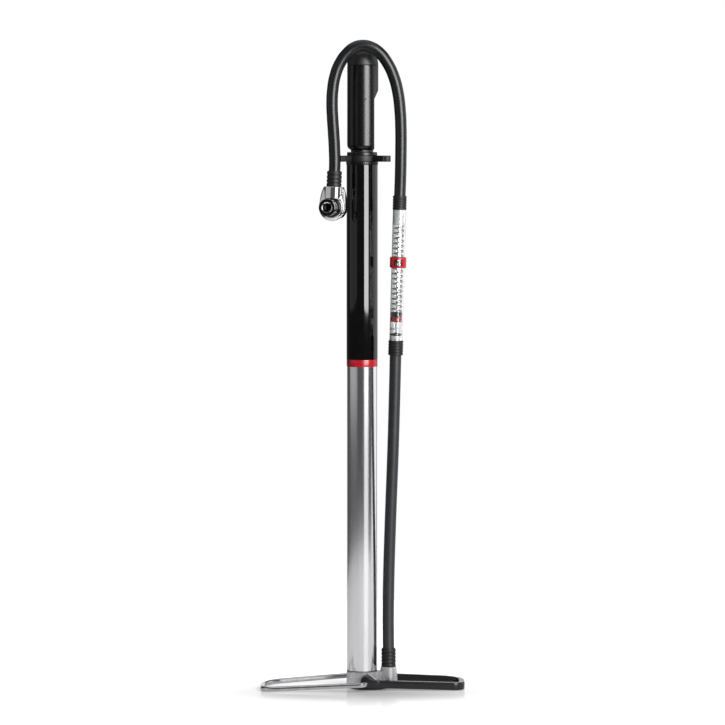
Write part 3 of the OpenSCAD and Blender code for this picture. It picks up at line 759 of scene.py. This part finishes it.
def neck_bumper():
    """A rubber ring on the rod, with a key that stands in the grip's slot."""
    low, high = span("neck_bumper")
    bore, reach, half = ROD_R + 0.05, 10.4, SLOT_W / 2 - 0.2
    wall = ring_profile(bore, radius("neck_bumper"), low, high, 0.15)
    band = lathe("ring", wall, segments=128)
    corners = [(-half, -half), (reach, -half), (reach, half), (-half, half)]
    key = prism("key", corners, low + 0.3, high + 1.6)
    carve(clean(key), rod("bore", bore, low - 1, high + 3))
    return stand_for("neck_bumper", join("keyed_neck_bumper", [clean(band), key]))


def clip_collar():
    """A band round the cap with two arms, each ending in a hooked cradle for the hose."""
    low, high = span("clip_collar")
    bore = COLLAR_SEAT + 0.02
    wall = fillet([(bore, low, 0), (CAP_R, low, 0.5), (CAP_R, high, 0.5), (bore, high, 0)])
    parts = [clean(lathe("band", wall, segments=128))]
    inner, outer, half_arc, tip = HOSE_D / 2 + 0.1, HOSE_D / 2 + 1.5, 54, 0.7
    middle = (inner + outer) / 2
    tip_x = middle * math.cos(math.radians(half_arc))
    tip_y = middle * math.sin(math.radians(half_arc))
    hook = arc(0, 0, outer, -half_arc, half_arc, 24)
    hook += arc(tip_x, tip_y, tip, half_arc, half_arc + 180, 6)
    hook += arc(0, 0, inner, half_arc, -half_arc, 24)
    hook += arc(tip_x, -tip_y, tip, -half_arc - 180, -half_arc, 6)
    for side in (1, -1):
        place = Vector((side * 26.8, -22.5, 0))
        inward = math.atan2(-place.y, -place.x)
        at = Matrix.Translation(place) @ Matrix.Rotation(inward, 4, "Z")
        parts.append(prism("hook", hook, low, high, at, edge=0.35))
        start, end, half = inner + 0.7, place.length - 14, 2.6
        arm = [(start, -half), (end, -half), (end, half), (start, half)]
        parts.append(prism("arm", arm, low, high, at, edge=0.4))
    return stand_for("clip_collar", join("hose_collar", parts))


upright_ring("barrel_tube", BARREL_BORE, BARREL_R, edge=0.25)
upright_ring("barrel_sleeve", BARREL_R, radius("barrel_sleeve"), edge=0.15)
upright_ring("trim_ring", BARREL_R, radius("trim_ring"), edge=0.2)
upright_ring("barrel_gasket", BARREL_BORE, radius("barrel_gasket"), edge=0.1)
upright_ring("piston_rod", ROD_BORE, ROD_R, edge=0.2)
upright_ring("rod_wiper", ROD_R + 0.1, 7.88, edge=0.3)
top_cap()
neck_bumper()
clip_collar()


# ---------- handle ----------

GRIP_X = 0.6                        # the grip's axis, beside the rod's
GRIP_LOW, GRIP_HIGH = 531.8, 614.9
PIN_X, PIN_Z = 1.5, 581.5
LOWER_FLAT, UPPER_FLAT = 12, 13.7   # how far out the handle's flat side is, below and above


def slanted_cut():
    """The wedge taken off the handle's flat side where its slope runs down to the pin."""
    top = PIN_Z + 9.3
    wedge = [(LOWER_FLAT, PIN_Z), (16.2, top), (30, top), (30, PIN_Z)]
    return prism("slant", wedge, -30, 30, SIDE_VIEW)


def rod_slot():
    """The slot in the handle's flat side that the rod folds out of."""
    half = SLOT_W / 2
    return block("slot", (-half, -half, GRIP_LOW - 5), (40, half, PIN_Z + half))


def handle_grip():
    """The moulded grip, flat on one side, with a lip at its lower end."""
    r = 15.4
    outline = [(0, GRIP_LOW, 0), (r, GRIP_LOW, 5), (r - 0.1, GRIP_HIGH, 0.5), (0, GRIP_HIGH, 0)]
    body = lathe("grip", fillet(outline, steps=8), shift(GRIP_X, 0, 0), segments=128)
    lower_flat = block("flat", (LOWER_FLAT, -30, GRIP_LOW - 5), (40, 30, PIN_Z))
    upper_flat = block("flat", (UPPER_FLAT, -30, PIN_Z), (40, 30, GRIP_HIGH + 5))
    carve(clean(body), lower_flat, upper_flat, slanted_cut(), rod_slot())
    round_edges(clean(body), 0.5)
    half = SLOT_W / 2
    lip = arc(0, 0, 11.2, 85, 275, 48) + [(1, -half), (-half, -half), (-half, half), (1, half)]
    skirt = prism("skirt", lip, GRIP_LOW - 1.15, GRIP_LOW + 0.8, edge=0.1)
    return stand_for("handle_grip", join("moulded_grip", [body, skirt]))


def handle_end_cap():
    """A soft dome over the grip's end, with a strip that runs down the flat side to the pin."""
    r, low, steps = 15.3, GRIP_HIGH + 0.1, 24
    height = span("handle_end_cap")[1] - low
    outline = [(0, low), (r - 0.35, low), (r, low + 0.35)]
    for step in range(steps):
        angle = math.radians(3 + 87 * step / steps)
        outline.append((r * math.cos(angle), low + height * math.sin(angle)))
    outline.append((0, low + height))
    dome = clean(lathe("dome", outline, shift(GRIP_X, 0, 0), segments=128))
    strip = rod("strip", r, PIN_Z + 0.7, low + 0.6, shift(GRIP_X, 0, 0), segments=128)
    inside = block("inside", (-40, -30, PIN_Z - 1), (UPPER_FLAT + 0.05, 30, low + 5))
    carve(clean(strip), inside, slanted_cut(), rod_slot())
    round_edges(clean(strip), 0.35)
    return stand_for("handle_end_cap", join("capped_end", [dome, strip]))


def handle_pin():
    """The cross pin that the handle turns on, whose ends show in the grip's sides."""
    half = radius("handle_pin") + 0.25
    outline = fillet([(0, -half, 0), (2.5, -half, 0.5), (2.5, half, 0.5), (0, half, 0)])
    at = shift(PIN_X, 0, PIN_Z) @ SIDE_VIEW
    pin = lathe("dowel_handle_pin", outline, at, segments=32)
    return stand_for("handle_pin", pin, look="dark_steel")


handle_grip()
handle_end_cap()
handle_pin()


# ---------- feet ----------

WIRE_SLOPE, FOOT_SLOPE = 2.554, 1.456       # how far each foot falls away from the hinge
FOOT_FAR = 34.1                     # y of the moulded foot's rear edge


def wire_foot():
    """One bright round wire, bent into a loop, whose ends turn in to make the hinge pin."""
    near, far, bend = -31, 39.5, 5
    plan = [(0, -9.4), (0, -22)]
    plan += arc(-bend, near + bend, bend, 0, -90, 10) + [(-30, near), (-60, near)]
    plan += arc(-89, -19, 12, -90, -180, 16) + arc(-75, -3, 26, 180, 100, 20)
    plan += [(-62, 26.6), (-45, 31.3), (-30, 35.5), (-18, 38.4)]
    plan += arc(-bend, far - bend, bend, 90, 0, 10) + [(0, 33), (0, 18.5)]
    at = Matrix.Translation(HINGE) @ turn(0, -WIRE_SLOPE)
    loop = sweep("bent_wire_foot", [(x, y, 0) for x, y in plan], circle(2.47, 24), at)
    return stand_for("wire_foot", loop, sharp=50, look="wire_chrome")


def foot_path(inset):
    """Plan of the moulded foot, from its near knuckle to its far one, moved inwards."""
    near, far, hinge_x = -21.4 + inset, FOOT_FAR - inset, 2
    path = [(hinge_x, near), (40, near)]
    path += arc(87, -10, 11.4 - inset, -90, 0, 14)
    path += arc(73, 4, 25.4 - inset, 0, 76, 20)
    return path + [(30, far), (hinge_x, far)]


def moulded_foot():
    """A black bar with two grooves along its inner face, and a knuckle at each end."""
    width, low, high = 5.5, -4.5, 3
    floor_of_groove = width - 0.8
    section = [(0, low, 0.9), (width, low, 0.7)]
    for groove_low, groove_high in [(-2.9, -1.5), (-0.4, 1)]:
        section += [(width, groove_low, 0.2), (floor_of_groove, groove_low, 0),
                    (floor_of_groove, groove_high, 0), (width, groove_high, 0.2)]
    section = fillet(section + [(width, high, 0.7), (0, high, 0.9)], steps=3)
    columns = [foot_path(inset) for inset, _ in section]
    count, n = len(columns[0]), len(section)
    verts = [(*columns[k][i], section[k][1]) for i in range(count) for k in range(n)]
    at = Matrix.Translation(HINGE) @ turn(0, FOOT_SLOPE)
    parts = [clean(mesh_object("bar", verts, skin_faces(count, n), at))]
    lobe = fillet([(-4.5, -1, 1), (-4.6, 1, 1), (-4, 4, 1.5), (-2.4, 6, 1.5), (0, 6.8, 1.5),
                   (3, 6.4, 2), (6, 4.8, 2), (9, 3.4, 3), (14, 3.05, 0), (14, -4.55, 0),
                   (2, -4.55, 1), (-1.5, -4.35, 1), (-3.6, -3, 1)], steps=3)
    for y_end in (-15.9, FOOT_FAR):
        side = at @ shift(0, y_end, 0) @ SIDE_VIEW
        parts.append(prism("knuckle", lobe, -0.08, width + 0.08, side, edge=0.5))
    return stand_for("moulded_foot", join("grooved_foot", parts), look="foot_nylon")


wire_foot()
moulded_foot()


# ---------- base ----------

def base_casting():
    """Barrel socket, hose boss, rear hinge lug and guard lip, melted into one casting."""
    r, low, high, boss_x = 15.4, 2, 17.2, 26.2
    wall = fillet([(0, low, 0), (r, low, 0.8), (r, high, 0.8), (0, high, 0)])
    socket = lathe("socket", wall)
    spigot = rod("spigot", 13.5, 15, 22.8)
    boss = rod("boss", 8.9, 7, 21.2, shift(boss_x, 0, 0), top=7.9)
    web = block("web", (8, -6, 5), (boss_x, 6, 16.6))
    lug = block("lug", (-3, 9, 2), (9, 28.2, 12.5))
    lip = fillet([(-2, 13.4, 0), (-1.6, 15, 0.5), (-0.4, 15.7, 0.5), (1, 15, 0.5),
                  (2.6, 15.6, 0.8), (4.4, 17, 0.8), (6.6, 16.7, 0.8), (14.4, 10, 1),
                  (22, 9.4, 0.5), (22, 7.4, 0.5), (13.8, 8, 1), (6, 14.7, 0.5), (4.6, 15, 0.5),
                  (2.6, 13.6, 0.5), (1, 13.2, 0.5)], steps=2)
    guard = prism("guard", lip, 0, 10.6, shift(0, -5, 0) @ SIDE_VIEW)
    casting = cast("cast_base", [socket, spigot, boss, web, lug, guard], grid=0.5,
                   passes=4)
    return stand_for("base_casting", casting, sharp=60)


def base_pad():
    """The round rubber pad under the casting."""
    low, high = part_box("base_pad")
    middle = (low.x + high.x) / 2 / MM
    r = radius("base_pad")
    outline = fillet([(0, 0, 0), (r - 0.3, 0, 0.3), (r, 1.2, 0.3), (r - 0.8, 2, 0.4), (0, 2, 0)])
    pad = lathe("moulded_pad", outline, shift(middle, 0, 0), segments=128)
    return stand_for("base_pad", pad)


def valve_spring():
    """Holds the check valve shut from below."""
    low, high = span("valve_spring")
    wire_r, travel = 0.3, 1.5
    r = radius("valve_spring") - wire_r
    obj = coil("valve_spring", r, wire_r, low, high, turns=5, at=UPRIGHT)
    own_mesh(obj)


base_casting()
base_pad()
valve_spring()


# ---------- floor, light and background, in metres ----------

FLOOR_R, FLOOR_Z, FLOOR_POINTS = 0.68, -0.0003, 96
# The lights' groups: metal and the gauge's pale plugs are lit more gently than the rest.
GENTLY_LIT = ("polished_aluminium", "cast_aluminium", "chrome", "wire_chrome", "steel",
              "dark_steel", "brass", "pale_plastic")


def floor_material():
    """White with a faint polish, overexposed to the camera away from the pump; an oval just in
    front of it is left dim, partly real shadow and reflection, partly painted shade.
    """
    mat = bpy.data.materials.new("studio_floor")
    mat.use_nodes = True
    tree = mat.node_tree
    tree.nodes.clear()
    where = add_node(tree, "TexCoord")
    # The oval of painted shade, squeezed along X and centred 3.5 cm in front of the pump.
    shade_oval = add_node(tree, "Mapping", Location=(0, 0.035, 0), Scale=(0.45, 1, 1))
    away = add_node(tree, "VectorMath")
    away.operation = "LENGTH"
    wire(tree, where, "Object", shade_oval, "Vector")
    wire(tree, shade_oval, "Vector", away, 0)
    # From 1 to 13 cm away the glow rises from almost none to white, for the camera only, so an
    # oval centred just in front of the pump is dim: real shadows and reflection show there, and
    # the dim oval itself is painted shade. Other rays meet an even, weaker glow and less polish.
    rise = map_range(tree, away, "Value", (0.01, 0.13), (0.04, 1.1))
    seen = add_node(tree, "LightPath")
    strength = add_node(tree, "Mix", A=0.16)
    wire(tree, seen, "Is Camera Ray", strength, "Factor")
    wire(tree, rise, "Result", strength, "B")
    glow = add_node(tree, "Emission")
    wire(tree, strength, "Result", glow, "Strength")
    matte = add_node(tree, "BsdfDiffuse", Color=(0.55, 0.55, 0.55, 1))
    lit = add_node(tree, "AddShader")
    wire(tree, matte, "BSDF", lit, 0)
    wire(tree, glow, "Emission", lit, 1)
    polish = add_node(tree, "BsdfGlossy", Roughness=0.17)
    share = map_range(tree, seen, "Is Camera Ray", (0, 1), (0.03, 0.30))
    mix = add_node(tree, "MixShader")
    wire(tree, share, "Result", mix, "Fac")
    wire(tree, lit, "Shader", mix, 1)
    wire(tree, polish, "BSDF", mix, 2)
    out = add_node(tree, "OutputMaterial")
    wire(tree, mix, "Shader", out, "Surface")
    return mat


def add_floor():
    """A round white table, just below the pump."""
    mesh = bpy.data.meshes.new("floor")
    rim = [(x, y, FLOOR_Z) for x, y in circle(FLOOR_R, FLOOR_POINTS)]
    mesh.from_pydata(rim, [], [tuple(range(FLOOR_POINTS))])
    mesh.materials.append(floor_material())
    add_object("floor", mesh)


def add_world():
    """White to the camera. In reflections it is a dim room with a bright wall far behind the
    pump, and through clear plastic a pale backdrop that is greyer on the left."""
    world = bpy.data.worlds.new("studio")
    world.use_nodes = True
    scene.world = world
    tree = world.node_tree
    tree.nodes.clear()
    where = add_node(tree, "TexCoord")
    split = add_node(tree, "SeparateXYZ")
    wire(tree, where, "Generated", split, "Vector")
    wall = map_range(tree, split, "Y", (0.88, 0.97), (0.09, 1.15))
    side = map_range(tree, split, "X", (-0.10, 0.06), (0.35, 1))
    room = add_node(tree, "Background")
    wire(tree, wall, "Result", room, "Color")
    beyond = add_node(tree, "Background")
    wire(tree, side, "Result", beyond, "Color")
    backdrop = add_node(tree, "Background", Color=(1, 1, 1, 1))
    seen = add_node(tree, "LightPath")
    through = add_node(tree, "MixShader")
    wire(tree, seen, "Is Transmission Ray", through, "Fac")
    wire(tree, room, "Background", through, 1)
    wire(tree, beyond, "Background", through, 2)
    mix = add_node(tree, "MixShader")
    wire(tree, seen, "Is Camera Ray", mix, "Fac")
    wire(tree, through, "Shader", mix, 1)
    wire(tree, backdrop, "Background", mix, 2)
    out = add_node(tree, "OutputWorld")
    wire(tree, mix, "Shader", out, "Surface")


def light_groups():
    """Two collections, the gently lit pieces and all others with the floor."""
    gentle = bpy.data.collections.new("gently_lit")
    others = bpy.data.collections.new("others")
    gentle_looks = [FINISH[name] for name in GENTLY_LIT]
    for obj in scene.objects:
        if obj.type in ("MESH", "CURVE"):
            is_gentle = obj.data.materials and obj.data.materials[0] in gentle_looks
            group = gentle if is_gentle else others
            group.objects.link(obj)
    return gentle, others


def area_light(name, place, facing, width, height, radiance, receivers=None):
    """A softbox of even radiance that faces along a direction, and may light only some objects."""
    data = bpy.data.lights.new(name, "AREA")
    data.shape = "RECTANGLE"
    data.size = width
    data.size_y = height
    data.energy = radiance * math.pi * width * height
    light = add_object(name, data)
    light.location = place
    light.rotation_euler = facing.to_track_quat("-Z", "Y").to_euler()
    light.visible_camera = False
    if receivers:
        light.light_linking.receiver_collection = receivers


def softbox(name, azimuth, distance, width, bottom, top, radiance, receivers=None):
    """An upright softbox round the pump; azimuth runs from the front towards +X."""
    a = math.radians(azimuth)
    away = Vector((math.sin(a), -math.cos(a), 0))
    place = distance * away + Vector((0, 0, (bottom + top) / 2))
    area_light(name, place, -away, width, top - bottom, radiance, receivers)


def add_lights():
    """A key to the right of the camera, a weak fill to its left, a rim and a top light."""
    gentle, others = light_groups()
    key = {"azimuth": 32, "distance": 2.0, "width": 1.15}
    metal_split = 0.13              # the metal's key is weaker below this height
    softbox("key", bottom=0.08, top=2.1, radiance=14, receivers=others, **key)
    softbox("metal_key", bottom=metal_split, top=2.1, radiance=1.65, receivers=gentle, **key)
    softbox("metal_key_low", bottom=-0.35, top=metal_split, radiance=0.80, receivers=gentle,
            **key)
    softbox("fill", azimuth=-70, distance=2.2, width=2.8, bottom=0.10, top=2.0, radiance=0.40)
    softbox("rim", azimuth=109, distance=2.2, width=2.8, bottom=-0.4, top=1.9, radiance=1.0)
    area_light("top", place=Vector((0, 0, 2.5)), facing=Vector((0, 0, -1)), width=2.6,
               height=2.6, radiance=1.0)


add_floor()
add_world()
add_lights()
scene.view_settings.view_transform = "Standard"
